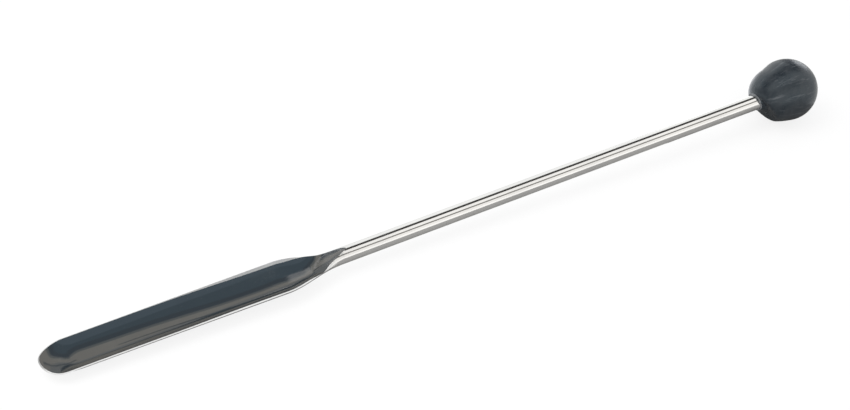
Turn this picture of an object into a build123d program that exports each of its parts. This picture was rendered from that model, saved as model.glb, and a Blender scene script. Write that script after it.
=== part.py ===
from build123d import *
import os
from math import asin, atan2, cos, degrees, radians, sin, tan

# Lab spatula: a steel rod forged into a shallow trough at one end, with a black ball grip on the other.
#
# The two pieces are drawn along the rod first, and then laid down together as the spatula rests on a bench.
# A station is the distance in millimetres from the point where the open face of the trough runs out on top of
# the rod: stations count up towards the tip, and the grip is on the negative side. Along the rod x is minus the
# station, y is across the trough and z is up from the rod's axis.

# Rod and grip, in millimetres
ROD_RADIUS = 2.0
ROD_START = 1.5              # where the forged neck becomes the plain round bar
GRIP_CENTRE = 127.44         # from the end of the open face to the widest part of the grip
GRIP_RADIUS = 7.96
GRIP_END_RADIUS = 7.1        # the rounding of the half towards the rod
GRIP_DRAW = 3.2              # and how far that rounding is drawn out along the rod
GRIP_LIFT = 0.33             # the grip sits this much above the rod's axis
FLAT_REACH = 8.1             # from the widest part to the flat round the rod, which is cut askew
FLAT_PITCH = 26.0
FLAT_YAW = 10.0
LIP_END = 9.55               # from the widest part to the edge of the lip round the rod
LIP_LENGTH = 2.0
LIP_ROOT_RADIUS = 3.2
LIP_EDGE_RADIUS = 2.4
BORE_DEPTH = 12.0
ROD_END = GRIP_CENTRE - FLAT_REACH + BORE_DEPTH

# Trough seen from above
BLADE_LENGTH = 73.75          # from the end of the open face to the tip
NECK_START = 0.5
NECK_LENGTH = 16.0
SHOULDER_HALF_WIDTH = 5.68
TIP_HALF_WIDTH = 5.44
TIP_ROUND_NEAR = 5.2
TIP_ROUND_FAR = 6.9
TIP_SHIFT = 1.0              # the tip was ground a little to one side

# Trough seen from the side, as heights over the rod's axis
RIM_AT_NECK = 0.5
RIM_AT_TIP = 1.0
BACK_START = 3.0
BACK_AT_NECK = -2.75
BACK_AT_TIP = -2.0
TIP_DISH_LENGTH = 8.5
TIP_DEPTH = 0.6
WALL_AT_NECK = 0.85
WALL_AT_TIP = 0.32

# Edge of the sheet round the trough
SHOULDER = 14.0
LAND_START = 6.7
LAND_AT_SHOULDER = 0.9
LAND_AT_TIP = 0.32
LAND_RUN = 30.0
LAND_TILT_ROD = -90.0
LAND_TILT_SHOULDER = 25.0
LAND_TILT_TIP = -25.0
LAND_TILT_RUN = 40.0

# Ramp that lets the open face run out on the rod
RAMP_START = -0.8
RAMP_SLOPE = 0.35
RAMP_SLOPE_LOW = 0.1
RAMP_RADIUS_START = 0.9
RAMP_RADIUS = 3.6
RAMP_FOOT = 8.0
RUN_OUT_START = 2.0
RUN_OUT_LENGTH = 8.5
RUN_OUT_HEIGHT = 1.7
FLARE_START = 3.0
FLARE_LIFT = 1.3

# Where cross-sections are drawn, as stations; through the tip, as shares of its dished length
NECK_STEP = 2.0
BODY_NECK_STEPS = 9
CUT_NECK_STEPS = 12
BLADE_STATIONS = [22.0, 28.0, 36.0, 44.0, 52.0, 58.0, 62.0, 65.0]
RAMP_STATIONS = [-2.0, -1.0, 0.0, 1.0, 2.0, 3.0, 4.5, 6.0, 7.5, 9.0, 11.0]
TIP_SHARES = [0.75, 0.5, 0.25, 0.0]

# How far cutters and waste run past the steel, so that no cut ends on a surface
BODY_OVERRUN = 1.5
CUT_OVERRUN = 2.0
EDGE_OVERRUN = 0.8
SIDE_OVERRUN = 0.1
REAR_OVERRUN = 5.0
CLEAR_HEIGHT = 6.5
CLEAR_DEPTH = 5.0
RAMP_ARC = radians(60)


def ease(share):
    """A smooth step from 0 to 1, level at both ends."""
    share = min(max(share, 0.0), 1.0)
    return share * share * (3 - 2 * share)


def blend(start, end, share):
    return start + (end - start) * share


def along(station, first, last):
    """How far a station lies from the first to the last, from 0 to 1 and past it."""
    return max((station - first) / (last - first), 0.0)


def half_width(station):
    opened = ease((station - NECK_START) / (NECK_LENGTH - NECK_START))
    taper = (SHOULDER_HALF_WIDTH - TIP_HALF_WIDTH) * along(station, NECK_LENGTH, BLADE_LENGTH)
    return blend(ROD_RADIUS, SHOULDER_HALF_WIDTH, opened) - taper


def rim_height(station):
    neck = RIM_AT_NECK * ease(station / SHOULDER)
    return neck + (RIM_AT_TIP - RIM_AT_NECK) * along(station, SHOULDER, BLADE_LENGTH)


def dish(station):
    """How far the trough has faded into the flat, rounded tip."""
    return ease(along(station, BLADE_LENGTH - TIP_DISH_LENGTH, BLADE_LENGTH))


def back_height(station):
    trough = blend(-ROD_RADIUS, BACK_AT_NECK, ease((station - BACK_START) / (NECK_LENGTH - BACK_START)))
    trough += (BACK_AT_TIP - BACK_AT_NECK) * along(station, SHOULDER, BLADE_LENGTH - TIP_DISH_LENGTH)
    return blend(trough, rim_height(station) - TIP_DEPTH, dish(station))


def land_tilt(station):
    """Lean of the edge towards the middle of the trough, in degrees; a full round rod counts as -90."""
    rising = blend(LAND_TILT_ROD, LAND_TILT_SHOULDER, ease(station / SHOULDER))
    return blend(rising, LAND_TILT_TIP, ease((station - SHOULDER) / LAND_TILT_RUN))


def land_width(station):
    growing = LAND_AT_SHOULDER * ease((station - LAND_START) / (SHOULDER - LAND_START))
    return blend(growing, LAND_AT_TIP, ease((station - SHOULDER) / LAND_RUN))


def wall(station):
    return blend(WALL_AT_NECK, WALL_AT_TIP, min(along(station, SHOULDER, BLADE_LENGTH), 1.0))


def floor_height(station):
    """Lowest line inside the trough; towards the rod it climbs as a quarter of a sine wave."""
    share = min(along(station, RUN_OUT_START, RUN_OUT_START + RUN_OUT_LENGTH), 1.0)
    trough = back_height(station) + wall(station)
    return blend(RUN_OUT_HEIGHT, trough, sin(radians(90 * share)))


def lens(station, half, edge, low, high):
    """A closed outline across the rod: a round back below two edges and a round crown over them."""
    left = (-station, -half, edge)
    right = (-station, half, edge)
    back = ThreePointArc(left, (-station, 0, low), right)
    crown = ThreePointArc(right, (-station, 0, high), left)
    return Face(Wire([back, crown]))


def body_section(station):
    half = half_width(station)
    rim = rim_height(station)
    crown = rim - half * tan(radians(land_tilt(station)) / 2)
    return lens(station, half, rim, back_height(station), crown)


def cutter_section(station, half, edge, low):
    """An outline that is round below and open above: its arc passes two edges and goes on past them."""
    depth = edge - low
    radius = (half ** 2 + depth ** 2) / (2 * depth)
    centre = low + radius
    reach = min(2 * atan2(depth, half) + EDGE_OVERRUN / radius, radians(90))
    side = radius * sin(reach)
    top = centre - radius * cos(reach)
    left = (-station, -side, top)
    right = (-station, side, top)
    floor = ThreePointArc(left, (-station, 0, low), right)
    lid = Polyline(right, (-station, side, CLEAR_HEIGHT), (-station, -side, CLEAR_HEIGHT), left)
    return Face(Wire([floor, *lid.edges()]))


def trough_section(station):
    land = land_width(station)
    tilt = radians(land_tilt(station))
    flare = FLARE_LIFT * (1 - ease((station - FLARE_START) / (LAND_START - FLARE_START)))
    half = half_width(station) - land * cos(tilt)
    edge = rim_height(station) - land * sin(tilt) + flare
    return cutter_section(station, half, edge, floor_height(station))


def ramp_section(station):
    steep = RAMP_SLOPE * (min(station, RAMP_FOOT) - RAMP_START)
    low = ROD_RADIUS - steep - RAMP_SLOPE_LOW * max(station - RAMP_FOOT, 0)
    radius = blend(RAMP_RADIUS_START, RAMP_RADIUS, ease((station - RAMP_START) / (NECK_LENGTH / 3)))
    return cutter_section(station, radius * sin(RAMP_ARC), low + radius * (1 - cos(RAMP_ARC)), low)


def tip_stations(overrun):
    """Stations through the dished tip, and one past its end."""
    return [BLADE_LENGTH - TIP_DISH_LENGTH * share for share in TIP_SHARES] + [BLADE_LENGTH + overrun]


def forged_body():
    """The rod's end spread into a thick, solid tongue, before its open side is sunk."""
    neck = [-ROD_START, -NECK_START, NECK_START]
    neck += [NECK_STEP * (step + 1) for step in range(BODY_NECK_STEPS)]
    return loft([body_section(station) for station in neck + BLADE_STATIONS + tip_stations(BODY_OVERRUN)])


def trough_cutter():
    neck = [FLARE_START + NECK_STEP / 2 * step for step in range(CUT_NECK_STEPS)]
    neck.append(NECK_LENGTH + NECK_STEP / 2)
    return loft([trough_section(station) for station in neck + BLADE_STATIONS + tip_stations(CUT_OVERRUN)])


def ramp_cutter():
    return loft([ramp_section(station) for station in RAMP_STATIONS])


def tip_outline():
    """The blade seen from above: straight sides and an end ground round, a little more on one side."""
    near_start = -(BLADE_LENGTH - TIP_ROUND_NEAR)
    far_start = -(BLADE_LENGTH - TIP_ROUND_FAR)
    near_half = TIP_HALF_WIDTH + TIP_SHIFT
    far_half = TIP_HALF_WIDTH - TIP_SHIFT
    near = EllipticalCenterArc((near_start, TIP_SHIFT), TIP_ROUND_NEAR, near_half, 180, arc_size=90)
    far = EllipticalCenterArc((far_start, TIP_SHIFT), TIP_ROUND_FAR, far_half, 90, arc_size=90)
    wide = SHOULDER_HALF_WIDTH + SIDE_OVERRUN
    rest = Polyline(
        (near_start, -TIP_HALF_WIDTH), (-NECK_LENGTH, -wide), (REAR_OVERRUN, -wide),
        (REAR_OVERRUN, wide), (-NECK_LENGTH, wide), (far_start, TIP_HALF_WIDTH),
    )
    return Face(Wire([near, *rest.edges(), far]))


def round_bar(start, end):
    return Plane.YZ.offset(start) * extrude(Circle(ROD_RADIUS), end - start)


def trough_rod():
    tongue = forged_body() & extrude(Pos(0, 0, -CLEAR_DEPTH) * tip_outline(), CLEAR_DEPTH + CLEAR_HEIGHT)
    trough = tongue - trough_cutter() - ramp_cutter()
    return trough + round_bar(ROD_START, ROD_END)


def ball_grip():
    """A slightly egg-shaped ball, cut flat where the rod enters, with a small lip there and a blind bore."""
    slope = degrees(asin((GRIP_RADIUS - GRIP_END_RADIUS) / GRIP_DRAW))
    free_end = CenterArc((0, 0), GRIP_RADIUS, 0, 90 + slope)
    pointed = CenterArc((-GRIP_DRAW, 0), GRIP_END_RADIUS, 90 + slope, 90 - slope)
    taper = Line(free_end @ 1, pointed @ 0)
    axle = Line(pointed @ 1, free_end @ 0)
    egg = revolve(Face(Wire([free_end, taper, pointed, axle])), Axis.X)
    block = 3 * GRIP_RADIUS
    waste = Pos(-FLAT_REACH - block / 2, 0, 0) * Box(block, block, block)
    cut = egg - Rot(0, -FLAT_PITCH, 0) * Rot(0, 0, FLAT_YAW) * waste
    lip = Plane.YZ.offset(LIP_LENGTH / 2 - LIP_END) * Cone(LIP_EDGE_RADIUS, LIP_ROOT_RADIUS, LIP_LENGTH)
    ball = Pos(0, 0, GRIP_LIFT) * cut + lip
    return Pos(GRIP_CENTRE, 0, 0) * ball - round_bar(GRIP_CENTRE - 2 * GRIP_RADIUS, ROD_END)


def lowest(piece):
    return piece.bounding_box().min.Z


def laid_down(steel, grip):
    """Tilt the spatula until the grip and the back of the trough both touch the bench, and centre it."""
    span = GRIP_CENTRE + BLADE_LENGTH - TIP_DISH_LENGTH
    tilt = 0.0
    for _ in range(3):
        gap = lowest(Rot(0, -tilt, 0) * steel) - lowest(Rot(0, -tilt, 0) * grip)
        tilt += degrees(atan2(gap, span))
    tilted = [Rot(0, -tilt, 0) * piece for piece in (steel, grip)]
    boxes = [piece.bounding_box() for piece in tilted]
    middle = (min(box.min.X for box in boxes) + max(box.max.X for box in boxes)) / 2
    print("tilt", round(tilt, 3), "degrees, overall length", round(2 * (boxes[1].max.X - middle), 2))
    return [Pos(-middle, 0, -boxes[1].min.Z) * piece for piece in tilted]


steel = trough_rod()
grip = ball_grip()
os.makedirs("parts", exist_ok=True)
for name, piece in zip(("trough_rod", "ball_grip"), laid_down(steel, grip)):
    box = piece.bounding_box()
    print(name, round(piece.volume, 1), "mm3, lowest", round(box.min.Z, 3), "size", box.size)
    export_step(piece, f"parts/{name}.step")
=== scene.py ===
# %% [markdown]
# # A lab spatula in polished steel
#
# The real tool is a round steel rod. One end is forged into a shallow trough for scooping powder, and the other
# end is pressed into a black ball that the fingers turn. Nothing on it moves.
#
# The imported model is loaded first, because it fixes where everything is. What follows draws the two pieces
# again as fine surfaces, gives them their finishes, and sets up the floor, the light and the camera.

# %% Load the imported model
import bpy
import numpy as np
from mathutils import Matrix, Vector


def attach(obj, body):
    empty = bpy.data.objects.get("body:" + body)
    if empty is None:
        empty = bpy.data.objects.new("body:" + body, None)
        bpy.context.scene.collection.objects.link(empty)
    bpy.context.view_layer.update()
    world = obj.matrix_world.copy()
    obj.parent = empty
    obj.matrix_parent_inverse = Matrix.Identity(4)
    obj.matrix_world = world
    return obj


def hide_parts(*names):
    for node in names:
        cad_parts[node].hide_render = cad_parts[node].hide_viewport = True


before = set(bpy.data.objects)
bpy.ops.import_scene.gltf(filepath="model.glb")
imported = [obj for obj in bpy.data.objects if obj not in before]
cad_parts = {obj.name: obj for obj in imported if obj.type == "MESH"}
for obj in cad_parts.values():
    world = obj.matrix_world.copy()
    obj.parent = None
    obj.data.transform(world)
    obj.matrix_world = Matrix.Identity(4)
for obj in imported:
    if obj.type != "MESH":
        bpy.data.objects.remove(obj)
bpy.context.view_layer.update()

MM = 0.001

# %% [markdown]
# ## Where the rod lies
#
# The spatula rests on its ball and on the back of its trough, so the rod slopes a little. The solid's round end
# face, hidden in the ball, is square to the rod. Its middle is therefore a point on the rod's axis, and its slant
# gives the slope. Measuring both on the solid means that the fine surfaces can't drift away from it.

# %% Measure the rod's axis on the solid
def corners(node):
    """All vertex positions of a mesh object, in millimetres, as one array."""
    places = np.empty(len(node.data.vertices) * 3, np.float32)
    node.data.vertices.foreach_get("co", places)
    return places.reshape(-1, 3).astype(float) / MM


END_FACE_DEPTH = 0.2
steel_corners = corners(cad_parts["trough_rod"])
end_face = steel_corners[steel_corners[:, 0] > steel_corners[:, 0].max() - END_FACE_DEPTH]
rod_end = (end_face.min(axis=0) + end_face.max(axis=0)) / 2
rod_radius = np.ptp(end_face[:, 1]) / 2
slope = np.arcsin(np.ptp(end_face[:, 0]) / (2 * rod_radius))
print("rod radius", round(rod_radius, 3), "slope", round(np.degrees(slope), 3), "end", rod_end.round(3))

# %% [markdown]
# ## Stations along the rod
#
# A station is a distance in millimetres from the point where the trough's open face runs out on top of the rod.
# Stations count up towards the tip, and the ball lies on the negative side. Every height is measured from the
# rod's axis. These are the sizes that the solid was built from.

# %% Sizes along the rod, in millimetres
GRIP_CENTRE = 127.44
ROD_END = 131.34
BLADE_LENGTH = 73.75


def placed(station, across, height):
    """Turn points given by station, distance across and height into metres where the spatula lies.

    The point starts at the middle of the rod's end face. It moves towards the tip by its distance from that
    face, and the whole line is turned by the rod's slope."""
    ahead = station + ROD_END
    x = rod_end[0] - ahead * np.cos(slope) - height * np.sin(slope)
    z = rod_end[2] - ahead * np.sin(slope) + height * np.cos(slope)
    return np.stack([x, across, z], axis=-1) * MM


# %% [markdown]
# ## The trough's cross-section
#
# A smith flattens the hot bar, spreads it over a rounded tool and grinds its open side. At every station the
# section is a lens: a round back below two edges, and a crown over them. On the plain rod the two arcs are half
# circles. Towards the trough the crown sinks until it is only a narrow bright land along each edge, and a wide
# round hollow is cut between the lands. Because each of these is an arc through known points, a height is a plain
# formula of station and distance across, and whole grids of points can be worked out at once.

# %% Formulas for the section
NECK_START, NECK_LENGTH = 0.5, 16.0
SHOULDER_HALF_WIDTH, TIP_HALF_WIDTH = 5.68, 5.44
RIM_AT_NECK, RIM_AT_TIP = 0.5, 1.0
BACK_START, BACK_AT_NECK, BACK_AT_TIP = 3.0, -2.75, -2.0
TIP_DISH_LENGTH, TIP_DEPTH = 8.5, 0.6
WALL_AT_NECK, WALL_AT_TIP = 0.85, 0.32
SHOULDER = 14.0
LAND_START, LAND_AT_SHOULDER, LAND_AT_TIP, LAND_RUN = 6.7, 0.9, 0.32, 30.0
LAND_TILT_ROD, LAND_TILT_SHOULDER, LAND_TILT_TIP, LAND_TILT_RUN = -90.0, 25.0, -25.0, 40.0
TINY = 1e-4  # a lean smaller than this counts as this much, so that nothing is divided by zero


def ease(share):
    """A smooth step from 0 to 1, level at both ends: the square of the share times three less twice the share."""
    share = np.clip(share, 0.0, 1.0)
    return share * share * (3 - 2 * share)


def blend(start, end, share):
    """The start plus a share of the way from there to the end."""
    return start + (end - start) * share


def along(station, first, last):
    """How far a station lies from the first to the last, from 0 to 1 and past it."""
    return np.maximum((station - first) / (last - first), 0.0)


def half_width(station):
    """Half the width seen from above: the rod's radius eased out to the shoulder, less a straight taper."""
    opened = ease((station - NECK_START) / (NECK_LENGTH - NECK_START))
    taper = (SHOULDER_HALF_WIDTH - TIP_HALF_WIDTH) * along(station, NECK_LENGTH, BLADE_LENGTH)
    return blend(rod_radius, SHOULDER_HALF_WIDTH, opened) - taper


def rim_height(station):
    """Height of the edges: eased up through the neck, then straight up to the tip."""
    neck = RIM_AT_NECK * ease(station / SHOULDER)
    return neck + (RIM_AT_TIP - RIM_AT_NECK) * along(station, SHOULDER, BLADE_LENGTH)


def back_height(station):
    """The lowest line: eased down through the neck, straight along the trough, and eased up into the tip's dish."""
    trough = blend(-rod_radius, BACK_AT_NECK, ease((station - BACK_START) / (NECK_LENGTH - BACK_START)))
    trough = trough + (BACK_AT_TIP - BACK_AT_NECK) * along(station, SHOULDER, BLADE_LENGTH - TIP_DISH_LENGTH)
    dish = ease(along(station, BLADE_LENGTH - TIP_DISH_LENGTH, BLADE_LENGTH))
    return blend(trough, rim_height(station) - TIP_DEPTH, dish)


def land_tilt(station):
    """Lean of the crown at the edge towards the middle, in radians; the plain rod counts as a quarter turn down."""
    rising = blend(LAND_TILT_ROD, LAND_TILT_SHOULDER, ease(station / SHOULDER))
    return np.radians(blend(rising, LAND_TILT_TIP, ease((station - SHOULDER) / LAND_TILT_RUN)))


def land_width(station):
    """Width of the ground land: eased up from nothing to the shoulder's, then eased down to the tip's."""
    growing = LAND_AT_SHOULDER * ease((station - LAND_START) / (SHOULDER - LAND_START))
    return blend(growing, LAND_AT_TIP, ease((station - SHOULDER) / LAND_RUN))


def arc_height(across, half, edge, lean):
    """Height of a round arc that meets its two edges, at plus and minus half, leaning by that angle.

    It is the edge's height, less half over the sine of the lean, times the root of one less the square of
    (across times that sine over half), less the cosine of the lean."""
    sine = np.where(np.abs(np.sin(lean)) < TINY, TINY, np.sin(lean))
    root = np.sqrt(np.clip(1 - (across * sine / half) ** 2, 0.0, 1.0))
    return edge - half / sine * (root - np.cos(lean))


def back_lean(station):
    """Lean of the round back at its edge: twice the angle whose tangent is its depth over its half width."""
    return 2 * np.arctan((rim_height(station) - back_height(station)) / half_width(station))


shoulder = np.array(NECK_LENGTH)
print("half width", half_width(shoulder).round(2), "rim", rim_height(shoulder).round(2),
      "back lean", np.degrees(back_lean(shoulder)).round(1))

# %% [markdown]
# ## The hollow and its ramp
#
# Two cuts open the lens. One is the long trough. The other is a narrow groove that starts as a point on top of
# the rod and slopes down into the trough, which leaves the tongue-shaped face in the neck. The lower of the two
# heights is the finished surface. A plain lowest-of-two would meet in a hard line, and polishing has rounded it,
# so the two are joined with a smooth minimum.

# %% Formulas for the hollow
RAMP_START, RAMP_SLOPE, RAMP_SLOPE_LOW, RAMP_FOOT = -0.8, 0.35, 0.1, 8.0
RAMP_RADIUS_START, RAMP_RADIUS = 0.9, 3.6
RAMP_RISE_START, RAMP_RISE_LENGTH = 8.0, 4.0
RUN_OUT_START, RUN_OUT_LENGTH, RUN_OUT_HEIGHT = 2.0, 8.5, 1.7
FLARE_START, FLARE_LIFT = 3.0, 1.3
CREASE_ROUNDING = 0.12
GROOVE_USED = 0.97  # share of the groove's half width that cuts; past it the sides would be too steep
LEAST_DEPTH = 1e-3
UNCUT = 50.0  # a height far above the steel, where a cut takes nothing away


def trough_height(station, across):
    """A round arc through the lands' inner edges and the floor, which sinks along a quarter of a sine wave.

    The edges lie a land's width inside the outline, and are flared upwards where the trough begins."""
    land, tilt = land_width(station), land_tilt(station)
    wall = blend(WALL_AT_NECK, WALL_AT_TIP, np.minimum(along(station, SHOULDER, BLADE_LENGTH), 1.0))
    share = np.minimum(along(station, RUN_OUT_START, RUN_OUT_START + RUN_OUT_LENGTH), 1.0)
    floor = blend(RUN_OUT_HEIGHT, back_height(station) + wall, np.sin(share * np.pi / 2))
    flare = FLARE_LIFT * (1 - ease((station - FLARE_START) / (LAND_START - FLARE_START)))
    half = half_width(station) - land * np.cos(tilt)
    edge = rim_height(station) - land * np.sin(tilt) + flare
    depth = np.maximum(edge - floor, LEAST_DEPTH)
    cut = arc_height(across, half, edge, 2 * np.arctan(depth / half))
    return np.where(station < FLARE_START, UNCUT, cut)


def ramp_height(station, across):
    """A round groove: its lowest line plus its radius, less the root of radius squared less across squared.

    Past its foot, inside the trough, the groove leaves the steel: a steep rise lifts it out."""
    steep = RAMP_SLOPE * (np.minimum(station, RAMP_FOOT) - RAMP_START)
    low = rod_radius - steep - RAMP_SLOPE_LOW * np.maximum(station - RAMP_FOOT, 0.0)
    radius = blend(RAMP_RADIUS_START, RAMP_RADIUS, ease((station - RAMP_START) / (NECK_LENGTH / 3)))
    rise = UNCUT * ease((station - RAMP_RISE_START) / RAMP_RISE_LENGTH) ** 2
    inside = np.abs(across) < GROOVE_USED * radius
    groove = low + rise + radius - np.sqrt(np.maximum(radius ** 2 - across ** 2, 0.0))
    return np.where(inside, groove, UNCUT)


def smooth_lower(a, b, rounding):
    """A smooth minimum: half of the sum, less half the root of the difference squared plus rounding squared."""
    return (a + b - np.sqrt((a - b) ** 2 + rounding ** 2)) / 2


def hollow_height(station, across):
    """The finished surface of the hollow: the lower of trough and ramp, rounded where they meet."""
    return smooth_lower(trough_height(station, across), ramp_height(station, across), CREASE_ROUNDING)


print("hollow at mid-blade", hollow_height(np.array(40.0), np.array(0.0)).round(3))

# %% [markdown]
# ## Ribs round the outline
#
# A grid of plain cross-sections would bunch up badly at the rounded tip. Instead, ribs are set out along the
# outline seen from above, down the near side, round the tip and back up the far side. Each rib runs from its
# point on the outline straight to the centre line, or to the centre line's end for the ribs round the tip. A half
# section carried along these ribs, from the bottom of the back to the floor of the hollow, makes the whole piece.

# %% Set out the ribs
TIP_ROUND_NEAR, TIP_ROUND_FAR, TIP_SHIFT = 5.2, 6.9, 1.0
SPINE_END = BLADE_LENGTH - TIP_ROUND_FAR
SPINE_SLIDE = 20.0  # over this length the centre line moves across to meet the tip, which is off the middle
FINE_FROM, FINE_TO = -2.0, 18.0
ROD_RIBS, NECK_RIBS, BLADE_RIBS, EDGE_RIBS, TIP_RIBS = 66, 150, 72, 9, 64


def side_stations():
    """Stations down one side: wide steps on the rod, fine ones in the neck, where the form changes quickly."""
    rod = np.linspace(-ROD_END, FINE_FROM, ROD_RIBS)
    neck = np.linspace(FINE_FROM, FINE_TO, NECK_RIBS)[1:]
    blade = np.linspace(FINE_TO, SPINE_END, BLADE_RIBS)[1:]
    return np.concatenate([rod, neck, blade])


def tip_side(sign, round_length):
    """Outline from the end of the centre line to the tip: the straight edge, then a quarter of an ellipse."""
    start = BLADE_LENGTH - round_length
    straight = np.linspace(SPINE_END, start, EDGE_RIBS)[1:] if start > SPINE_END else np.empty(0)
    turn = np.linspace(0.0, np.pi / 2, TIP_RIBS)[1:]
    reach = half_width(np.array(start)) - sign * TIP_SHIFT
    station = np.concatenate([straight, start + round_length * np.sin(turn)])
    across = np.concatenate([sign * half_width(straight), TIP_SHIFT + sign * reach * np.cos(turn)])
    return station, across


side = side_stations()
near_tip = tip_side(-1.0, TIP_ROUND_NEAR)
far_tip = tip_side(1.0, TIP_ROUND_FAR)
outline_station = np.concatenate([side, near_tip[0], far_tip[0][-2::-1], side[::-1]])
outline_across = np.concatenate([-half_width(side), near_tip[1], far_tip[1][-2::-1], half_width(side[::-1])])
foot_station = np.minimum(outline_station, SPINE_END)
foot_across = TIP_SHIFT * ease(along(foot_station, SPINE_END - SPINE_SLIDE, SPINE_END))
print("ribs", len(outline_station))

# %% [markdown]
# Where the crown and the hollow cross, the real piece has a crisp edge, and the grid needs a line there. The
# crossing is found by halving an interval forty times, for all ribs at once.

# %% Find the inner edge on every rib
HALVINGS = 40
SHOWN_RIBS = [60, 120, 200, 280]


def on_rib(share):
    """Station and distance across of points that lie a share of the way from the ribs' feet to the outline."""
    station = blend(foot_station, outline_station, share)
    return station, blend(foot_across, outline_across, share)


def crown_height(station, across):
    """The arc over the section: half a circle on the rod, and the land's slant along the trough."""
    return arc_height(across, half_width(station), rim_height(station), land_tilt(station))


def is_hollow(share):
    """Whether the hollow lies below the crown there, and so is the surface one sees."""
    station, across = on_rib(share)
    return hollow_height(station, across) < crown_height(station, across)


rib_length = np.hypot(outline_station - foot_station, outline_across - foot_across)
low, high = np.zeros_like(rib_length), np.ones_like(rib_length)
for _ in range(HALVINGS):
    middle = (low + high) / 2
    hollow = is_hollow(middle)
    low, high = np.where(hollow, middle, low), np.where(hollow, high, middle)
edge_share = np.where(is_hollow(np.zeros_like(low)), (low + high) / 2, 0.0)
tip_share = 1 - land_width(outline_station) * np.cos(land_tilt(outline_station)) / rib_length
edge_share = np.where(outline_station > SPINE_END, tip_share, edge_share)
print("inner edge at", (edge_share * rib_length)[SHOWN_RIBS].round(2), "mm from the centre line")

# %% [markdown]
# ## The half section carried along the ribs
#
# Going up a rib's section there are four stretches: the round back out to the outline, the small wall of the
# ground edge, the land (which on the rod is the whole top of the bar), and the hollow back to the centre line.
# On an arc, equal steps of angle space the points evenly, so shares along the rib come from sines.

# %% Work out all points of the steel
BACK_POINTS, LAND_POINTS, HOLLOW_POINTS = 26, 12, 44


def arc_shares(lean, first, last, count):
    """Shares at equal steps of angle: the sine of each angle over the sine of the whole lean."""
    lean = np.where(np.abs(lean) < TINY, TINY, lean)[:, None]
    start, end = (np.arcsin(np.clip(np.atleast_1d(share), 0, 1)[:, None] * np.sin(lean)) for share in (first, last))
    return np.sin(blend(start, end, np.linspace(0, 1, count))) / np.sin(lean)


def steel_points():
    """Stations, distances across and heights of the whole grid, one row for each rib."""
    is_tip = (outline_station > SPINE_END)[:, None]
    back_share = arc_shares(back_lean(outline_station), 0.0, 1.0, BACK_POINTS)
    land_share = arc_shares(land_tilt(outline_station), 1.0, edge_share, LAND_POINTS)
    hollow_share = edge_share[:, None] * np.linspace(1, 0, HOLLOW_POINTS)[1:]

    def at(share):
        station = blend(foot_station[:, None], outline_station[:, None], share)
        return station, blend(foot_across[:, None], outline_across[:, None], share)

    station, across = at(back_share)
    back = arc_height(across, half_width(station), rim_height(station), back_lean(station))
    inner_edge = hollow_height(*at(edge_share[:, None]))
    drop = land_width(outline_station) * np.sin(-land_tilt(outline_station))
    ground = np.maximum(back[:, -1:], inner_edge - drop[:, None])
    up_land = (1 - land_share) / np.maximum(1 - edge_share[:, None], TINY)
    land = np.where(is_tip, blend(ground, inner_edge, up_land), crown_height(*at(land_share)))
    inside = at(hollow_share)
    hollow = np.where(edge_share[:, None] > 0, hollow_height(*inside), crown_height(*inside))
    share = np.concatenate([back_share, land_share, hollow_share], axis=1)
    station, across = at(share)
    return station, across, np.concatenate([back, land, hollow], axis=1)


station, across, height = steel_points()
print("steel grid", station.shape, "heights", height.min().round(2), "to", height.max().round(2))

# %% [markdown]
# ## From a grid of points to a closed mesh
#
# Neighbouring rows and columns make quads, and each quad is split in two. Where ribs share a point, as along the
# centre line, the points fall on each other. They are welded by rounding their places, and the triangles that
# this leaves without an area are dropped. The sign of the enclosed volume says whether faces point outwards.

# %% Grid to mesh
WELD_STEP = 1e-4 * MM


def linked_object(name, mesh):
    """An object for a mesh, at the origin, in the scene."""
    thing = bpy.data.objects.new(name, mesh)
    bpy.context.scene.collection.objects.link(thing)
    return thing


def grid_triangles(rows, columns, wrap=False):
    """Two triangles for every cell of a grid of vertex numbers; with wrap, the last column joins the first."""
    number = np.arange(rows * columns).reshape(rows, columns)
    if wrap:
        number = np.concatenate([number, number[:, :1]], axis=1)
    a, b, c, d = number[:-1, :-1], number[1:, :-1], number[1:, 1:], number[:-1, 1:]
    return np.concatenate([np.stack([a, b, c], -1).reshape(-1, 3), np.stack([a, c, d], -1).reshape(-1, 3)])


def enclosed_volume(points, triangles):
    """A sixth of the sum, over the triangles, of the triple product of their corners."""
    p, q, r = (points[triangles[:, i]] for i in range(3))
    return np.einsum("ij,ij->", p, np.cross(q, r)) / 6


def surface(name, points, triangles, edge_lines=None, ground=None):
    """Weld a grid, drop empty triangles, turn it outwards and make it a smooth mesh object with sharp edge lines.

    A value for each triangle, if given, is kept on the mesh as the attribute called ground."""
    _, first, index = np.unique(np.round(points / WELD_STEP).astype(np.int64), axis=0,
                                return_index=True, return_inverse=True)
    index = index.reshape(-1)
    triangles = index[triangles]
    a, b, c = triangles.T
    kept = (a != b) & (b != c) & (c != a)
    triangles, points = triangles[kept], points[first]
    volume = enclosed_volume(points, triangles)
    if volume < 0:
        triangles = triangles[:, ::-1]
    mesh = bpy.data.meshes.new(name)
    mesh.from_pydata(points, [], triangles)
    mesh.polygons.foreach_set("use_smooth", np.ones(len(triangles), bool))
    if edge_lines is not None:
        lines = np.zeros(len(points), np.int64)
        np.bitwise_or.at(lines, index, edge_lines)
        ends = np.empty(len(mesh.edges) * 2, np.int32)
        mesh.edges.foreach_get("vertices", ends)
        ends = lines[ends.reshape(-1, 2)]
        mesh.edges.foreach_set("use_edge_sharp", (ends[:, 0] & ends[:, 1]) > 0)
    if ground is not None:
        shares = mesh.attributes.new("ground", "FLOAT", "FACE")
        shares.data.foreach_set("value", ground[kept].astype(np.float32))
    mesh.update()
    print(name, len(points), "vertices", len(triangles), "triangles", round(abs(volume) / MM ** 3, 1), "mm3")
    return linked_object(name, mesh)


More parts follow.
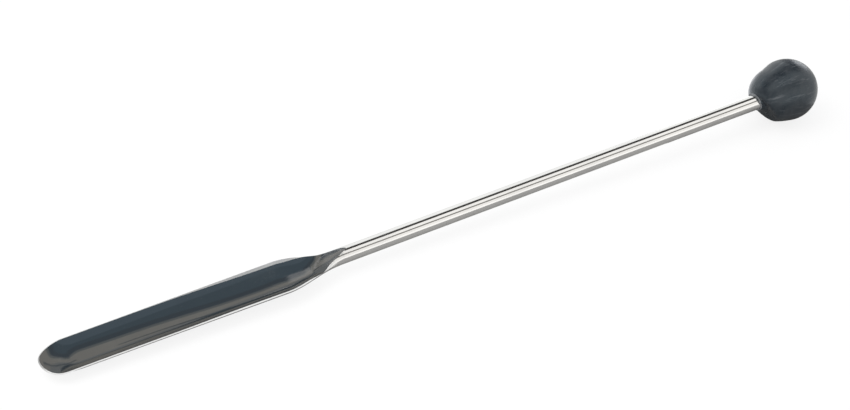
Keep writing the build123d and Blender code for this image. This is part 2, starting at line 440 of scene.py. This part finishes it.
# %% [markdown]
# ## Where the polish is thinner, and where light and shade are painted
#
# Only the hollow and the rod are fully polished. The narrow lands and the small wall under them were ground and
# then just wiped over, so they scatter light and look pale. The far land gets only half the near land's value, so
# it reflects more of the dark arch and looks darker: that difference is painted shade. The tongue in the neck is
# a little dull too. A soft pale band along its upper border is a painted highlight, standing in for the light on
# the rounded crease between tongue and trough, and a soft duller wedge lies where the neck turns into the trough.
# These could be painted by hand, but they follow the section's own formulas. So each triangle gets a value from
# nought to one, worked out from its station and its distance across, and the steel's material reads it later.

# %% How dull each triangle is
LAND_FROM, LAND_FADE = 1.5, 4.0
# The far land's lower value is painted shade: it makes the far land mirror more of the dark arch and look darker
# than the near one.
FAR_LAND_PAINTED_SHADE_DULLNESS, SIDE_FADE = 0.5, 2.0
TONGUE_DULLNESS, TONGUE_FADE = 0.09, 0.3
# The ridge band is a painted highlight along the crease between tongue and trough.
RIDGE_MIDDLE, RIDGE_LENGTH, RIDGE_WIDTH, RIDGE_BAND, RIDGE_HIGHLIGHT_DULLNESS = 3.9, 3.5, 1.75, 0.16, 0.12
PATCH_START, PATCH_END, PATCH_FADE_IN, PATCH_FADE_OUT, PATCH_DULLNESS = 7.6, 14.8, 1.0, 2.0, 0.13
PATCH_WIDENS_FROM, PATCH_NARROW, PATCH_WIDE, PATCH_SIDE_FADE, PATCH_NEAR_FADE = 8.0, 1.5, 2.2, 0.5, 1.2


def painted_ridge_highlight(station, across):
    """A painted highlight on the tongue's upper border, standing in for the light on the rounded crease: a soft
    band along half an oval from the rod's top to the trough's middle.

    It fades with the square of the distance off the oval, as a bell curve does."""
    around = np.hypot((station - RIDGE_MIDDLE) / RIDGE_LENGTH, across / RIDGE_WIDTH)
    off = (around - 1) * RIDGE_WIDTH
    return RIDGE_HIGHLIGHT_DULLNESS * np.exp(-(off / RIDGE_BAND) ** 2) * (across > 0)


def neck_patch(station, across):
    """Duller and paler in a wedge where the neck turns into the trough, fading on all sides."""
    lengthwise = ease((station - PATCH_START) / PATCH_FADE_IN) * ease((PATCH_END - station) / PATCH_FADE_OUT)
    edge = blend(PATCH_NARROW, PATCH_WIDE, along(station, PATCH_WIDENS_FROM, PATCH_END))
    far_side = PATCH_DULLNESS * lengthwise * ease((edge - across) / PATCH_SIDE_FADE)
    return far_side * ease((across + PATCH_NEAR_FADE) / PATCH_NEAR_FADE)


def dullness_and_painted_light_shares():
    """How rough each cell of the grid is: one on the near land, and on the far land a lower value that is painted
    shade; less on the tongue, plus a painted highlight along its border and a duller wedge in the neck; none where
    it is polished.
    """
    cell_station, cell_across = station[:, :-1], across[:, :-1]
    tongue = trough_height(cell_station, cell_across) - ramp_height(cell_station, cell_across)
    column = np.arange(station.shape[1] - 1)
    in_hollow = (edge_share[:, None] > 0) & (column >= BACK_POINTS + LAND_POINTS - 1)
    shares = np.where(in_hollow, TONGUE_DULLNESS * ease(tongue / TONGUE_FADE), 0.0)
    shares += painted_ridge_highlight(cell_station, cell_across) + neck_patch(cell_station, cell_across)
    # Painted shade: towards the far side the land's value drops, so the far land looks darker.
    painted_shade_to_far_side = ease((outline_across + SHOULDER_HALF_WIDTH / 2) / SIDE_FADE)
    land = blend(1.0, FAR_LAND_PAINTED_SHADE_DULLNESS, painted_shade_to_far_side) * ease((outline_station - LAND_FROM) / LAND_FADE)
    on_land = slice(BACK_POINTS - 1, BACK_POINTS + LAND_POINTS - 1)
    shares[:, on_land] = (land * (edge_share > 0))[:, None]
    return shares


cell_dullness_and_painted_light = dullness_and_painted_light_shares()
print("dull cells", int((cell_dullness_and_painted_light > 0.01).sum()), "of", cell_dullness_and_painted_light.size)

# %% [markdown]
# ## The steel
#
# The grid is open at the rod's end. One more row at each end of it, with all its points in one place, closes the
# round face. The lines along the ground edge are marked sharp, so that smooth shading doesn't blur them.

# %% Make the steel
def with_end_cap(grid, value):
    """Add a row before the first and after the last, all at one value, which closes the rod's round end."""
    row = np.full((1, grid.shape[1]), value)
    return np.concatenate([row, grid, row])


edge_lines = np.zeros(station.shape, np.int64)
edge_lines[outline_station > LAND_FROM, BACK_POINTS - 1] = 1
edge_lines[outline_station > LAND_FROM, BACK_POINTS] = 2
edge_lines[edge_share > 0, BACK_POINTS + LAND_POINTS - 1] = 4
steel_grid = placed(with_end_cap(station, -ROD_END), with_end_cap(across, 0.0), with_end_cap(height, 0.0))
steel = surface("trough_rod_surface", steel_grid.reshape(-1, 3), grid_triangles(*steel_grid.shape[:2]),
                with_end_cap(edge_lines, 0).reshape(-1).astype(np.int64),
                np.tile(with_end_cap(cell_dullness_and_painted_light, 0.0)[:-1].reshape(-1), 2))
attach(steel, "root")
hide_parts("trough_rod")

# %% [markdown]
# ## The ball grip
#
# The ball was moulded, pushed on the rod and trimmed. It is a touch longer towards the rod, its end there is
# trimmed askew and sags a little, and a small uneven lip was pressed up round the rod. Cutting a sphere with
# other solids would leave a ragged mesh. Seen along the rod, though, the half towards the trough is one height for
# every place across, so it can be worked out as a grid of rings that slide from the ball's own middle to the rod's
# middle as they get smaller. The other half is half a sphere, and the walls of the bore close it.

# %% Ball formulas
GRIP_RADIUS, GRIP_END_RADIUS, GRIP_DRAW = 7.955, 7.1, 3.2
GRIP_LIFT = 0.33
FLAT_REACH, FLAT_PITCH, FLAT_YAW, FLAT_ROUNDING = 8.1, np.radians(26.0), np.radians(10.0), 0.35
LIP_END, LIP_EDGE_RADIUS, LIP_ROOT_RADIUS, LIP_LENGTH, LIP_ROUNDING = 9.5, 2.35, 3.2, 2.0, 0.22
LIP_WAVES = ((0.10, 3, 0.6), (0.07, 7, 2.0), (0.04, 13, 4.0))  # size, number of waves round the rod, start
LIP_ZONE = 1.0
END_DROOP, DROOP_FROM, DROOP_INNER, DROOP_FADE = 0.22, 1.0, 3.4, 2.6


def drawn_reach(out):
    """How far the ball reaches towards the rod at a distance from its middle: sphere, cone, smaller sphere."""
    lean = np.arcsin((GRIP_RADIUS - GRIP_END_RADIUS) / GRIP_DRAW)
    big = np.sqrt(np.maximum(GRIP_RADIUS ** 2 - out ** 2, 0.0))
    small = GRIP_DRAW + np.sqrt(np.maximum(GRIP_END_RADIUS ** 2 - out ** 2, 0.0))
    cone = (GRIP_RADIUS / np.cos(lean) - out) / np.tan(lean)
    nearer = np.where(out > GRIP_END_RADIUS * np.cos(lean), cone, small)
    return np.where(out > GRIP_RADIUS * np.cos(lean), big, nearer)


def flat_reach(y, z):
    """How far the slanting flat reaches: its plane's distance less the part that y and z use up, over its lean."""
    normal = np.array([np.cos(FLAT_PITCH) * np.cos(FLAT_YAW), -np.sin(FLAT_YAW),
                       -np.sin(FLAT_PITCH) * np.cos(FLAT_YAW)])
    return (FLAT_REACH - normal[1] * y - normal[2] * z) / normal[0]


def lip_reach(angle, out):
    """The lip falls away in a straight line from its edge; its length wavers in three sine waves round the rod."""
    waver = sum(size * np.sin(count * angle + start) for size, count, start in LIP_WAVES)
    fall = LIP_LENGTH / (LIP_ROOT_RADIUS - LIP_EDGE_RADIUS)
    return LIP_END + waver - fall * np.maximum(out - LIP_EDGE_RADIUS, 0.0)


def end_droop(reach, distance):
    """How far the end sags: nothing at the widest part and at the lip, and the whole of it between them."""
    return END_DROOP * ease((reach - DROOP_FROM) / GRIP_DRAW) * ease((distance - DROOP_INNER) / DROOP_FADE)


print("reach at the middle", drawn_reach(0.0).round(2), "cut back to", flat_reach(0.0, 0.0).round(2))

# %% Ball rings
AROUND = 192
FREE_RINGS, TURNED_RINGS, EVEN_RINGS = 49, 44, 44
LAST_TURN, EVEN_FROM = 0.62, 4.55  # rings go by angle down to the first, and by even distances from the second
SLIDE_FROM, SLIDE_LENGTH = 6.5, 3.0
BORE_DEPTH, BORE_WALL_START = 12.0, 1.0


def ball_grid():
    """Rings from the free end over the widest part to the lip, and down the bore: reach, across and height."""
    turn = np.linspace(0, 2 * np.pi, AROUND, endpoint=False)
    free = np.linspace(0, np.pi / 2, FREE_RINGS)[:-1, None]
    drawn = np.concatenate([GRIP_RADIUS * np.sin(np.linspace(np.pi / 2, LAST_TURN, TURNED_RINGS)),
                            np.linspace(EVEN_FROM, rod_radius, EVEN_RINGS)])[:, None]
    y, z = drawn * np.cos(turn), drawn * np.sin(turn)
    middle = -GRIP_LIFT * ease((SLIDE_FROM - drawn) / SLIDE_LENGTH)
    plain = smooth_lower(drawn_reach(np.hypot(y, z + middle)), flat_reach(y, z + middle), FLAT_ROUNDING)
    lipped = -smooth_lower(-plain, -lip_reach(turn, drawn), LIP_ROUNDING)
    reach = np.where(drawn > LIP_ROOT_RADIUS + LIP_ZONE, plain, lipped)
    rings = [(-GRIP_RADIUS * np.cos(free) + 0 * turn, GRIP_RADIUS * np.sin(free) * np.cos(turn),
              GRIP_RADIUS * np.sin(free) * np.sin(turn) + GRIP_LIFT),
             (reach, y, z + middle + GRIP_LIFT - end_droop(reach, drawn))]
    bore_end = FLAT_REACH - BORE_DEPTH
    for depth, radius in ((LIP_END - BORE_WALL_START, rod_radius), (bore_end, rod_radius), (bore_end, 0.0)):
        rings.append((np.full((1, AROUND), depth), radius * np.cos(turn)[None], radius * np.sin(turn)[None]))
    return [np.concatenate(part) for part in zip(*rings)]


reach, y, z = ball_grid()
print("ball grid", reach.shape, "reach", reach.min().round(2), "to", reach.max().round(2))

# %% [markdown]
# The pressed-up lip has rubbed against fingers and is scuffed pale. The same attribute as on the steel marks it.

# %% Make the ball
SCUFF_DEPTH, SCUFF_MARGIN, LIP_SCUFF = 0.5, 0.05, 0.8

on_lip = (reach > LIP_END - SCUFF_DEPTH) & (np.hypot(y, z) < LIP_EDGE_RADIUS + SCUFF_MARGIN)
lip_scuff = np.where(on_lip, LIP_SCUFF, 0.0)[:-1].reshape(-1)
ball_points = placed(reach - GRIP_CENTRE, y, z)
ball = surface("ball_grip_surface", ball_points.reshape(-1, 3), grid_triangles(*ball_points.shape[:2], wrap=True),
               ground=np.tile(lip_scuff, 2))
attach(ball, "root")
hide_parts("ball_grip")

# %% [markdown]
# ## Finishes
#
# Both pieces have been handled: hands leave soft smudges, and use leaves fine scratches. Either could be painted as
# a picture, but a node texture stays sharp at any distance and needs no file. Both effects appear on both pieces,
# so each is a node group. A group only gives values between 0 and 1, and each material decides what they do.

# %% Node helpers
def add_node(tree, kind, inputs=None, **settings):
    """Add a node, set its properties, and fill or link the named inputs."""
    node = tree.nodes.new(kind)
    for name, value in settings.items():
        setattr(node, name, value)
    for name, value in (inputs or {}).items():
        if isinstance(value, bpy.types.NodeSocket):
            tree.links.new(value, node.inputs[name])
        else:
            node.inputs[name].default_value = value
    return node


def effect_group(name, inputs, outputs):
    """An empty node group with named sockets, its input node and its output node."""
    group = bpy.data.node_groups.new(name, "ShaderNodeTree")
    for direction, sockets in (("INPUT", inputs), ("OUTPUT", outputs)):
        for socket, kind in sockets.items():
            group.interface.new_socket(socket, in_out=direction, socket_type=kind)
    return group, group.nodes.new("NodeGroupInput"), group.nodes.new("NodeGroupOutput")


def empty_tree(owner):
    """The node tree of a material or a world, with nothing in it."""
    owner.use_nodes = True
    owner.node_tree.nodes.clear()
    return owner.node_tree


# %% Smudges and scratches
SMUDGE_CLEAR, SMUDGE_FULL = 0.38, 0.68


def smudge_group():
    """Clouds of several sizes, pushed towards clear and marked areas."""
    group, given, result = effect_group(
        "Hand smudges", {"Position": "NodeSocketVector", "Scale": "NodeSocketFloat"}, {"Smudge": "NodeSocketFloat"})
    clouds = add_node(group, "ShaderNodeTexNoise", {
        "Vector": given.outputs["Position"], "Scale": given.outputs["Scale"],
        "Detail": 4.0, "Roughness": 0.6, "Distortion": 0.6})
    marked = add_node(group, "ShaderNodeMapRange", {
        "Value": clouds.outputs["Fac"], "From Min": SMUDGE_CLEAR, "From Max": SMUDGE_FULL})
    group.links.new(marked.outputs["Result"], result.inputs["Smudge"])
    return group


def scratch_group():
    """Noise on stretched positions: where they change slowly along one direction, it becomes fine lines."""
    group, given, result = effect_group(
        "Fine scratches", {"Position": "NodeSocketVector", "Scale": "NodeSocketFloat",
                           "Stretch": "NodeSocketVector"}, {"Scratch": "NodeSocketFloat"})
    drawn = add_node(group, "ShaderNodeVectorMath", {
        0: given.outputs["Position"], 1: given.outputs["Stretch"]}, operation="MULTIPLY")
    lines = add_node(group, "ShaderNodeTexNoise", {
        "Vector": drawn.outputs["Vector"], "Scale": given.outputs["Scale"], "Detail": 3.0, "Roughness": 0.7})
    group.links.new(lines.outputs["Fac"], result.inputs["Scratch"])
    return group


smudges, scratches = smudge_group(), scratch_group()
print("groups", [group.name for group in bpy.data.node_groups])

# %% [markdown]
# ## Polished steel
#
# The rod and the hollow were buffed to a mirror, so almost everything seen on them is a reflection. A metallic
# shader with a little roughness does that. Smudges dull it and darken it slightly, and hair-fine lines run along
# the rod. On the ground places the same shader turns into a pale, rough surface that scatters light.

# %% Make the steel's material
CLEAN_STEEL, SMUDGED_STEEL = (0.80, 0.80, 0.79, 1.0), (0.75, 0.75, 0.745, 1.0)
MIRROR_ROUGHNESS, SMUDGED_ROUGHNESS, GROUND_ROUGHNESS = 0.07, 0.13, 0.5
GROUND_METALLIC = 0.2
STEEL_SMUDGE_SCALE, STEEL_LINES = 90.0, (60.0, 4200.0, 4200.0)


def new_material(name):
    """A material with an empty node tree, its shader and object coordinates."""
    material = bpy.data.materials.new(name)
    tree = empty_tree(material)
    shader = tree.nodes.new("ShaderNodeBsdfPrincipled")
    add_node(tree, "ShaderNodeOutputMaterial", {"Surface": shader.outputs["BSDF"]})
    return material, tree, shader, tree.nodes.new("ShaderNodeTexCoord").outputs["Object"]


def effects(tree, position, smudge_scale, scratched, scratch_scale, stretch):
    """Smudges and scratches from the two groups, and the share of grinding or scuffing kept on the mesh."""
    smudge = add_node(tree, "ShaderNodeGroup", {"Position": position, "Scale": smudge_scale}, node_tree=smudges)
    scratch = add_node(tree, "ShaderNodeGroup", {
        "Position": scratched, "Scale": scratch_scale, "Stretch": stretch}, node_tree=scratches)
    ground = add_node(tree, "ShaderNodeAttribute", attribute_name="ground")
    return smudge.outputs["Smudge"], scratch.outputs["Scratch"], ground.outputs["Fac"]


def colour_mix(tree, share, first, second):
    """The first colour, giving way to the second by a share; either may be a colour or a socket."""
    mix = add_node(tree, "ShaderNodeMix", {"Factor": share}, data_type="RGBA")
    for name, colour in (("A", first), ("B", second)):
        if isinstance(colour, bpy.types.NodeSocket):
            tree.links.new(colour, mix.inputs[name])
        else:
            mix.inputs[name].default_value = colour
    return mix.outputs["Result"]


def link_inputs(tree, shader, links):
    """Feed named inputs of the shader from sockets."""
    for name, socket in links.items():
        tree.links.new(socket, shader.inputs[name])


def polished_steel():
    """Bright steel: a mirror that hands have dulled a little, and a rough pale surface where it was ground."""
    material, tree, shader, position = new_material("polished_steel")
    smudge, scratch, ground = effects(tree, position, STEEL_SMUDGE_SCALE, position, 1.0, STEEL_LINES)
    handled = colour_mix(tree, smudge, CLEAN_STEEL, SMUDGED_STEEL)
    dull = add_node(tree, "ShaderNodeMapRange", {
        "Value": smudge, "To Min": MIRROR_ROUGHNESS, "To Max": SMUDGED_ROUGHNESS})
    rougher = add_node(tree, "ShaderNodeMapRange", {
        # The ground value also carries painted light: a painted highlight along the tongue's border, and painted
        # shade that makes the far land darker.
        "Value": ground, "To Min": dull.outputs["Result"], "To Max": GROUND_ROUGHNESS})
    scattering = add_node(tree, "ShaderNodeMapRange", {"Value": ground, "To Min": 1.0, "To Max": GROUND_METALLIC})
    bump = add_node(tree, "ShaderNodeBump", {"Strength": 0.04, "Distance": 0.00002, "Height": scratch})
    link_inputs(tree, shader, {"Base Color": colour_mix(tree, ground, handled, CLEAN_STEEL),
                               "Roughness": rougher.outputs["Result"],
                               "Metallic": scattering.outputs["Result"], "Normal": bump.outputs["Normal"]})
    return material


steel.data.materials.append(polished_steel())
print("polished_steel", len(steel.data.materials[0].node_tree.nodes), "nodes")

# %% [markdown]
# ## Black grip
#
# The ball is hard black plastic with a satin skin. Its scratches run out from the hole, because it is pushed on and
# wiped along the rod. Noise that depends on the direction round the rod's axis, and only a little on the place
# itself, is the same all along such a line, so it draws them. They show both in the relief and as pale scuffs.

# %% Make the grip's material
CLEAN_BLACK, SMUDGED_BLACK = (0.017, 0.023, 0.030, 1.0), (0.034, 0.038, 0.044, 1.0)
SCUFFED_BLACK = (0.300, 0.310, 0.325, 1.0)
SATIN_ROUGHNESS, SMUDGED_SATIN = 0.27, 0.42
GRIP_SMUDGE_SCALE, GRIP_SCRATCH_SCALE, GRIP_LENGTHWISE = 260.0, 9.0, 22.0
SCUFF_FROM, SCUFF_FULL, SCUFF_MOST = 0.56, 0.74, 0.3


def direction_round_rod(tree, position):
    """The direction from the rod's axis, as an arrow of length one, plus a little of the position itself."""
    def step(operation, *values):
        node = add_node(tree, "ShaderNodeVectorMath", dict(enumerate(values)), operation=operation)
        return node.outputs["Vector"]

    from_axis = step("SUBTRACT", position, (0.0, 0.0, rod_end[2] * MM))
    round_axis = step("NORMALIZE", step("MULTIPLY", from_axis, (0.0, 1.0, 1.0)))
    return step("ADD", round_axis, step("MULTIPLY", position, (GRIP_LENGTHWISE,) * 3))


def black_grip():
    """Hard black plastic with a satin skin, smudged, lightly scratched, and scuffed on its lip."""
    material, tree, shader, position = new_material("black_grip")
    smudge, scratch, ground = effects(tree, position, GRIP_SMUDGE_SCALE, direction_round_rod(tree, position),
                                      GRIP_SCRATCH_SCALE, (1.0, 1.0, 1.0))
    handled = colour_mix(tree, smudge, CLEAN_BLACK, SMUDGED_BLACK)
    dull = add_node(tree, "ShaderNodeMapRange", {
        "Value": smudge, "To Min": SATIN_ROUGHNESS, "To Max": SMUDGED_SATIN})
    scuffed = add_node(tree, "ShaderNodeMapRange", {
        "Value": scratch, "From Min": SCUFF_FROM, "From Max": SCUFF_FULL, "To Max": SCUFF_MOST})
    worn = add_node(tree, "ShaderNodeMath", {0: scuffed.outputs["Result"], 1: ground}, operation="MAXIMUM")
    bump = add_node(tree, "ShaderNodeBump", {"Strength": 0.5, "Distance": 0.0001, "Height": scratch})
    link_inputs(tree, shader, {"Base Color": colour_mix(tree, worn.outputs["Value"], handled, SCUFFED_BLACK),
                               "Roughness": dull.outputs["Result"], "Normal": bump.outputs["Normal"]})
    shader.inputs["IOR"].default_value = 1.54
    # The cool tint on the ball's reflections is a painted reflection colour: it stands in for bluish surroundings
    # that the warm cards don't give.
    shader.inputs["Specular Tint"].default_value = (0.80, 0.93, 1.0, 1.0)
    return material


ball.data.materials.append(black_grip())
print("black_grip", len(ball.data.materials[0].node_tree.nodes), "nodes")

# %% [markdown]
# ## Floor and background
#
# The picture is a cut-out on plain white. A camera ray therefore sees white in the world and nearly white on the
# floor, where a small share of ordinary shading keeps the shadow. All other rays meet a plain soft light and a pale
# grey floor, so the white costs the spatula none of its contrast.

# %% World and floor
FLOOR_HALF = 1.5
SHADOW_SHARE = 0.17
WHITE, SOFT_LIGHT = (1.0, 1.0, 1.0, 1.0), (0.95, 0.95, 0.96, 1.0)
SHADED_FLOOR, GREY_FLOOR = (0.95, 0.95, 0.95, 1.0), (0.37, 0.365, 0.355, 1.0)


def mixed(tree, share, first, second):
    """A mix of two shaders, by a share or a socket."""
    mix = add_node(tree, "ShaderNodeMixShader", {0: share, 1: first, 2: second})
    return mix.outputs["Shader"]


def white_world():
    """A camera ray sees pure white, and every other ray a plain soft light."""
    bpy.context.scene.world = bpy.data.worlds.new("studio")
    tree = empty_tree(bpy.context.scene.world)
    seen = add_node(tree, "ShaderNodeBackground", {"Color": WHITE}).outputs["Background"]
    light = add_node(tree, "ShaderNodeBackground", {"Color": SOFT_LIGHT}).outputs["Background"]
    path = tree.nodes.new("ShaderNodeLightPath")
    add_node(tree, "ShaderNodeOutputWorld", {"Surface": mixed(tree, path.outputs["Is Camera Ray"], light, seen)})


def pale_floor():
    """A camera ray sees a floor that is mostly plain white and keeps a faint shadow; other rays see pale grey."""
    mesh = bpy.data.meshes.new("floor")
    corner = np.array([[-1, -1, 0], [1, -1, 0], [1, 1, 0], [-1, 1, 0]]) * FLOOR_HALF
    mesh.from_pydata(corner, [], [(0, 1, 2, 3)])
    material = bpy.data.materials.new("floor")
    tree = empty_tree(material)
    white = add_node(tree, "ShaderNodeEmission", {"Color": WHITE}).outputs["Emission"]
    shaded = add_node(tree, "ShaderNodeBsdfDiffuse", {"Color": SHADED_FLOOR}).outputs["BSDF"]
    grey = add_node(tree, "ShaderNodeBsdfDiffuse", {"Color": GREY_FLOOR}).outputs["BSDF"]
    path = tree.nodes.new("ShaderNodeLightPath")
    seen = mixed(tree, SHADOW_SHARE, white, shaded)
    add_node(tree, "ShaderNodeOutputMaterial", {"Surface": mixed(tree, path.outputs["Is Camera Ray"], grey, seen)})
    mesh.materials.append(material)
    floor = linked_object("floor", mesh)


white_world()
pale_floor()
print("floor", 2 * FLOOR_HALF, "m wide")

# %% [markdown]
# ## What the steel reflects
#
# Polished steel shows its surroundings more than itself. In the picture the rod reflects a bright tent crossed by
# two dark lines, and the hollow reflects something dark that hangs over it, with a grey wall beyond. A photograph
# of a room would do, but plain glowing cards are simpler and can be measured. Most are strips of a wide tube round
# the line on the floor that runs under the rod, and some are sheets of paper just over the floor. They are part
# of the studio, not of the spatula, and only mirror rays see them.

# %% Cards
CARD_DISTANCE = 100.0
LAYER_GAP, FLOOR_GAP = 0.4, 0.001
CARD_STEPS = 33


def stage_card(name, points, faces, colour):
    """A glowing card that only mirror rays see."""
    mesh = bpy.data.meshes.new(name)
    mesh.from_pydata(points, [], faces)
    material = bpy.data.materials.new(name)
    tree = empty_tree(material)
    glow = add_node(tree, "ShaderNodeEmission", {"Color": (*colour, 1.0)})
    add_node(tree, "ShaderNodeOutputMaterial", {"Surface": glow.outputs["Emission"]})
    mesh.materials.append(material)
    card = linked_object(name, mesh)
    card.visible_camera = card.visible_diffuse = card.visible_shadow = card.visible_transmission = False


def bent_card(name, places, low, high, colour, layer=0):
    """A part of a tube round the line under the rod, over some places along it and between two angles at each.

    Angles are in degrees above the horizon on the near side, so 90 is straight up and 180 the far horizon.
    A card of a lower layer hangs a little nearer and hides what is behind it."""
    low, high = np.broadcast_to(low, len(places)), np.broadcast_to(high, len(places))
    angle = np.radians(np.linspace(low, high, CARD_STEPS))
    distance = CARD_DISTANCE + LAYER_GAP * layer
    points = np.stack([np.broadcast_to(places, angle.shape), -distance * np.cos(angle),
                       distance * np.sin(angle)], axis=-1).reshape(-1, 3) * MM
    stage_card(name, points, grid_triangles(*angle.shape), colour)


def flat_card(name, start, end, near, far, colour):
    """A sheet just over the floor, between two places along the spatula and two distances across."""
    corner = np.array([[start, near, FLOOR_GAP], [end, near, FLOOR_GAP],
                       [end, far, FLOOR_GAP], [start, far, FLOOR_GAP]])
    stage_card(name, corner * MM, [(0, 1, 2, 3)], colour)


# %% [markdown]
# Over the trough hangs a dark arch, which reaches further over beside the neck than at the tip, and has a softer
# edge. Beyond it is a grey wall, and a thin dark line runs askew across that wall near the tip.

# %% Cards over the trough
CARD_REACH = 260.0
ZONE_EDGE = -15.0  # where the trough's surroundings give way to the rod's
TROUGH_SIDE, ROD_SIDE = (-CARD_REACH, ZONE_EDGE), (ZONE_EDGE, CARD_REACH)
LOW_TOP, FOOT_TOP, GREY_TOP, FAR_END = 20.0, 62.0, 148.0, 184.0
CROWN_DEPTH, EDGE_WIDTH = 18.0, 9.0
ARCH_PLACES = (-110.0, -77.0, -62.0, -42.0, -29.0, ZONE_EDGE)
ARCH_TOP = np.array([80.0, 96.0, 102.0, 119.0, 125.0, 118.0])
LINE_PLACES = (-72.0, -60.0, -51.0, -44.0, -37.0)
LINE_LOW, LINE_HIGH = (133.5, 137.5, 143.5, 153.5, 155.0), (137.0, 141.5, 149.0, 160.0, 160.0)

bent_card("tent_low", (-CARD_REACH, CARD_REACH), 0.0, LOW_TOP, (1.25, 1.23, 1.20))
bent_card("arch_foot", TROUGH_SIDE, LOW_TOP, FOOT_TOP, (0.068, 0.090, 0.110))
bent_card("dark_arch", ARCH_PLACES, FOOT_TOP, ARCH_TOP - CROWN_DEPTH, (0.054, 0.073, 0.089))
bent_card("arch_crown", ARCH_PLACES, ARCH_TOP - CROWN_DEPTH, ARCH_TOP, (0.048, 0.060, 0.072))
bent_card("arch_edge", ARCH_PLACES, FOOT_TOP, ARCH_TOP + EDGE_WIDTH, (0.100, 0.110, 0.114), layer=1)
bent_card("grey_arch", TROUGH_SIDE, LOW_TOP, GREY_TOP, (0.172, 0.170, 0.162), layer=2)
bent_card("tip_line", LINE_PLACES, LINE_LOW, LINE_HIGH, (0.058, 0.070, 0.080), layer=1)
bent_card("cool_arch", TROUGH_SIDE, GREY_TOP, FAR_END, (0.132, 0.139, 0.143), layer=2)

# %% [markdown]
# Over the rod is the bright tent, with a thin grey line and a broader dark one. Beyond the ball a gap and a bright
# window give the ball its highlight, and the paper beside and behind the ball gives it pale rims.

# %% Cards over the rod and round the ball
NEAR_TOP, LINE_TOP, TENT_TOP, DARK_TOP, WINDOW_LOW = 47.0, 62.0, 95.0, 125.0, 140.0
GAP_START, WINDOW_START, WINDOW_END = 150.0, 195.0, 330.0
PAPER_START, BRIGHT_START, BRIGHT_END = 62.0, 79.0, 108.0
PAPER_UNDER, PAPER_BEHIND, PAPER_BESIDE, PAPER_FAR = -1.0, 11.0, -60.0, 400.0
PAPER = (0.90, 0.90, 0.89)

bent_card("tent_near", ROD_SIDE, LOW_TOP, NEAR_TOP, (1.08, 1.055, 1.02))
bent_card("thin_line", ROD_SIDE, NEAR_TOP, LINE_TOP, (0.25, 0.24, 0.225))
bent_card("tent_top", ROD_SIDE, LINE_TOP, TENT_TOP, (1.12, 1.10, 1.07))
bent_card("dark_line", ROD_SIDE, TENT_TOP, DARK_TOP, (0.065, 0.063, 0.060))
bent_card("tent_far", (ZONE_EDGE, GAP_START), DARK_TOP, FAR_END, (1.10, 1.10, 1.09))
bent_card("far_gap", (GAP_START, WINDOW_START), DARK_TOP, FAR_END, (0.10, 0.11, 0.13))
bent_card("far_window", (WINDOW_START, WINDOW_END), WINDOW_LOW, FAR_END, (3.0, 3.0, 3.1))
flat_card("paper_under_rod", -CARD_REACH, PAPER_START, PAPER_UNDER, PAPER_FAR, PAPER)
flat_card("paper_behind_grip", PAPER_START, BRIGHT_START, PAPER_BEHIND, PAPER_FAR, PAPER)
flat_card("bright_paper", BRIGHT_START, BRIGHT_END, PAPER_BEHIND, PAPER_FAR, (1.9, 1.9, 1.95))
flat_card("paper_beyond_grip", BRIGHT_END, CARD_REACH, PAPER_BESIDE, PAPER_FAR, PAPER)

# %% [markdown]
# ## Lamp
#
# One soft lamp from behind and above, on the tip's side, gives the shadow its direction. Mirror rays don't see it,
# because the cards already stand for everything that the steel reflects.

# %% Lamp
def soft_lamp(name, place, target, size, power):
    """A square area lamp that faces its target."""
    lamp = bpy.data.objects.new(name, bpy.data.lights.new(name, "AREA"))
    lamp.data.size = size
    lamp.data.energy = power
    lamp.location = place
    lamp.rotation_mode = "QUATERNION"
    lamp.rotation_quaternion = (Vector(target) - Vector(place)).to_track_quat("-Z", "Y")
    bpy.context.scene.collection.objects.link(lamp)
    return lamp


key = soft_lamp("key", place=(-0.35, 0.15, 0.7), target=(0, 0, 0), size=0.5, power=2.0)
key.visible_glossy = False
print("lamp at", [round(part, 2) for part in key.location])

# %% [markdown]
# ## Camera
#
# The picture looks down on the spatula with the tip nearest. The rod narrows towards the ball, and that narrowing
# gives the distance and the lens once the height of the camera is chosen.

# %% Camera
CAMERA_AZIMUTH, CAMERA_ELEVATION = np.radians(-28.0429), np.radians(40.0)
CAMERA_DISTANCE = 417.227 * MM
CAMERA_TARGET = Vector((-5.9382, 6.0352, 5.0)) * MM
PICTURE_WIDTH, FOCAL_PIXELS = 850, 1734.726

camera = bpy.data.objects.new("camera", bpy.data.cameras.new("camera"))
bpy.context.scene.collection.objects.link(camera)
backwards = Vector((np.sin(CAMERA_AZIMUTH) * np.cos(CAMERA_ELEVATION),
                    -np.cos(CAMERA_AZIMUTH) * np.cos(CAMERA_ELEVATION), np.sin(CAMERA_ELEVATION)))
camera.location = CAMERA_TARGET + backwards * CAMERA_DISTANCE
camera.rotation_mode = "QUATERNION"
camera.rotation_quaternion = (-backwards).to_track_quat("-Z", "Y")
camera.data.sensor_fit = "HORIZONTAL"
camera.data.lens = camera.data.sensor_width * FOCAL_PIXELS / PICTURE_WIDTH
camera.data.clip_start, camera.data.clip_end = 0.01, 20.0
bpy.context.scene.camera = camera
bpy.context.scene.view_settings.view_transform = "Standard"
print("lens", round(camera.data.lens, 2), "mm")
